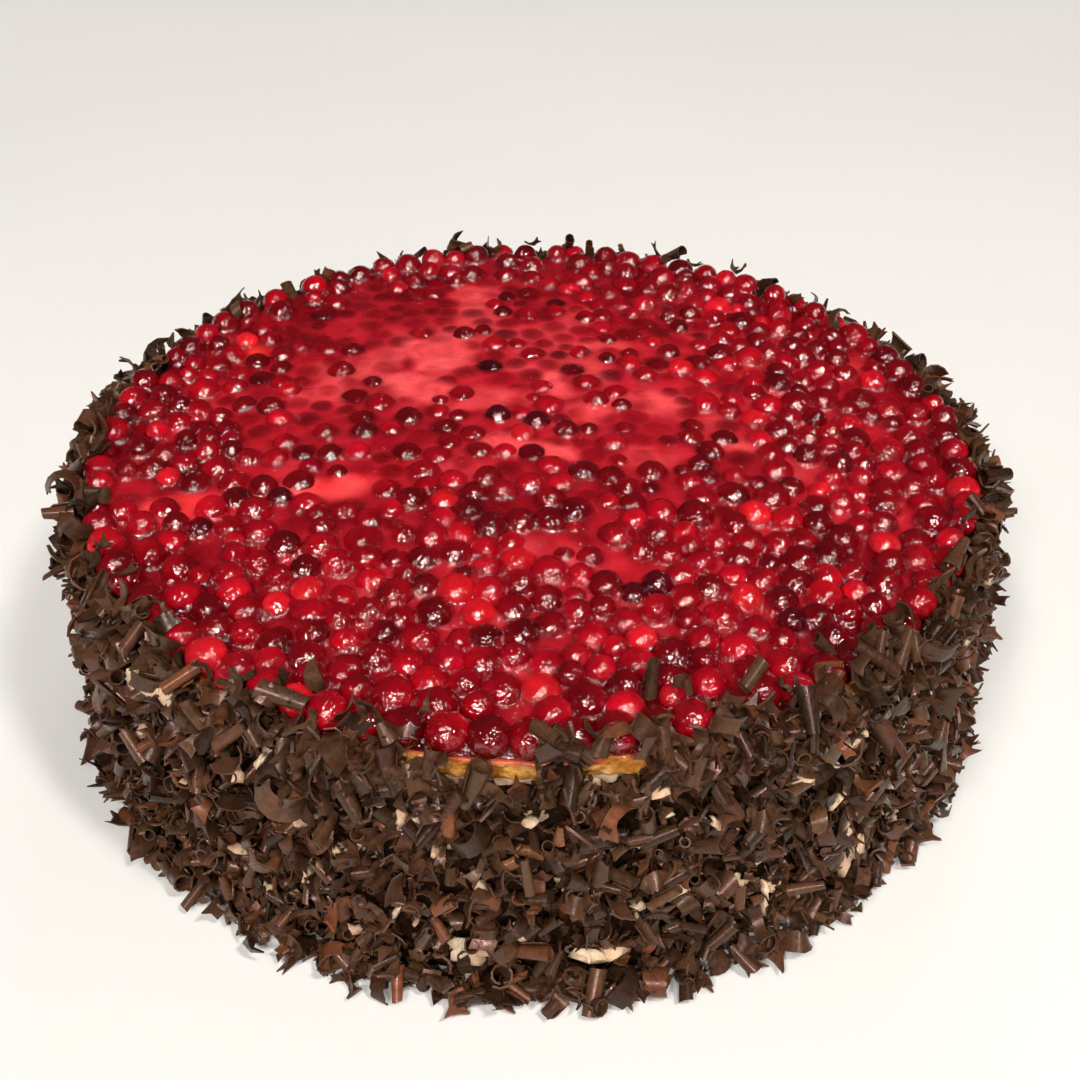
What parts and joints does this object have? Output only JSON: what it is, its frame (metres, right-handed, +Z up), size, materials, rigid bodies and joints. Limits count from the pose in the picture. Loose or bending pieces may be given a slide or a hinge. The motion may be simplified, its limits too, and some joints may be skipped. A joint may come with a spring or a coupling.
{
  "type": "sour cream cake",
  "caption": "Uncut round sour cream cake with a golden top layer, a top of small red berries set in jelly, and a side coated in dark chocolate curls.",
  "frame": {"origin": "centre of the cake's base, on the surface that it stands on", "axes": "+Z up along the cake's axis; the side seen from the front faces -Y, with +X to the right"},
  "size_m": [0.2656, 0.2656, 0.0798],
  "materials": {
    "cream": "soft, faintly glossy sour cream, off-white to pale yellow",
    "sponge": "moist golden sponge, glazed with jelly where it shows",
    "berries": "wet red berries in clear red jelly, highly glossy",
    "jelly": "clear red jelly, glossy, milky pink where cream shows through",
    "stalk": "dried dark brown calyx at a berry's end",
    "chocolate": "dark chocolate, satin"
  },
  "bodies": {
    "root": {"cake_body": "cream", "sponge_layer": "sponge", "berry_topping": "berries", "chocolate_coat": "chocolate"}
  },
  "joints": []
}
